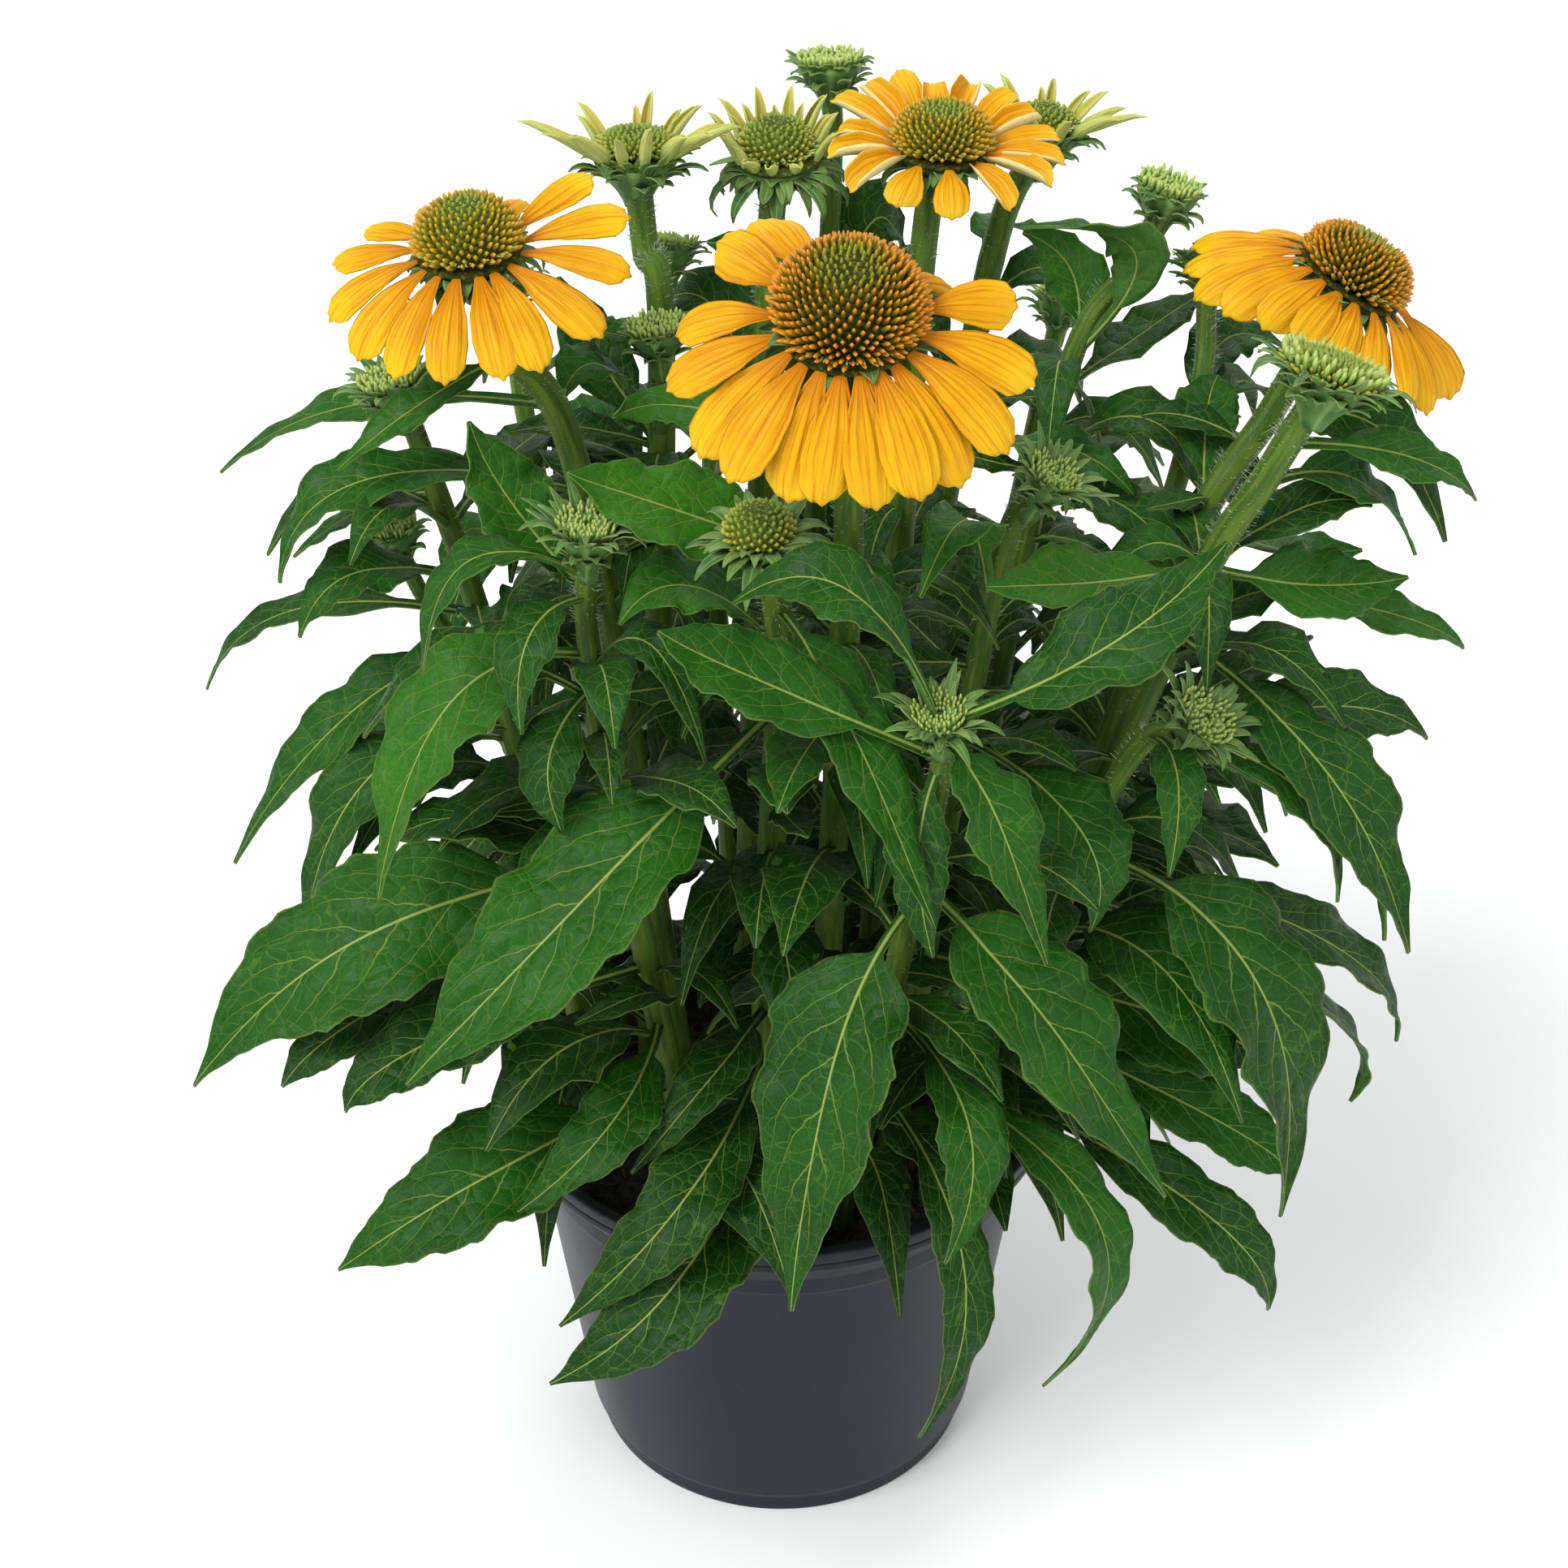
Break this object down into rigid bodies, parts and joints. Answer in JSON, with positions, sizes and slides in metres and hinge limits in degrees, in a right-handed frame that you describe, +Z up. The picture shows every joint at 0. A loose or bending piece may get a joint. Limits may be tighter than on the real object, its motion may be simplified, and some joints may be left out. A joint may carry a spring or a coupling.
{
  "type": "coneflower plant in a nursery pot",
  "caption": "Golden-yellow coneflower in bloom, with drooping rays round spiny orange-brown cones, green buds and toothed leaves, in a dark round nursery pot.",
  "frame": {"origin": "centre of the pot's underside, on the surface that it stands on", "axes": "+Z up along the pot's axis; -Y towards the side that the picture shows; +X to its right"},
  "size_m": [0.3607, 0.2967, 0.4323],
  "materials": {
    "pot_plastic": "satin dark grey injection-moulded polypropylene",
    "soil_dark": "dark crumbly bark and peat potting mix",
    "leaf_green": "matt hairy green leaf and stem",
    "ray_yellow": "matt golden-yellow petal",
    "quill_green": "matt yellow-green young petal",
    "cone_orange": "orange-tipped stiff spines over olive brown",
    "cone_green": "green unopened spines"
  },
  "bodies": {
    "root": {"cone_back_bloom": "cone_orange", "cone_front_bloom": "cone_orange", "cone_left_bloom": "cone_orange", "cone_left_opening": "cone_green", "cone_low_head": "cone_green", "cone_middle_opening": "cone_green", "cone_rear_opening": "cone_green", "cone_right_bloom": "cone_orange", "cone_right_green": "cone_green", "pot": "pot_plastic", "rays_back_bloom": "ray_yellow", "rays_front_bloom": "ray_yellow", "rays_left_bloom": "ray_yellow", "rays_left_opening": "quill_green", "rays_middle_opening": "quill_green", "rays_rear_opening": "quill_green", "rays_right_bloom": "ray_yellow", "soil": "soil_dark", "stem_back_bloom": "leaf_green", "stem_centre_bud": "leaf_green", "stem_far_left_bud": "leaf_green", "stem_front_bloom": "leaf_green", "stem_left_bloom": "leaf_green", "stem_left_opening": "leaf_green", "stem_low_front_bud": "leaf_green", "stem_low_head": "leaf_green", "stem_low_right_bud": "leaf_green", "stem_middle_opening": "leaf_green", "stem_near_left_bud": "leaf_green", "stem_rear_left": "leaf_green", "stem_rear_middle": "leaf_green", "stem_rear_opening": "leaf_green", "stem_rear_right": "leaf_green", "stem_right_bloom": "leaf_green", "stem_right_green": "leaf_green", "stem_right_hidden_bud": "leaf_green", "stem_right_tall_bud": "leaf_green", "stem_top_bud": "leaf_green"}
  },
  "joints": []
}
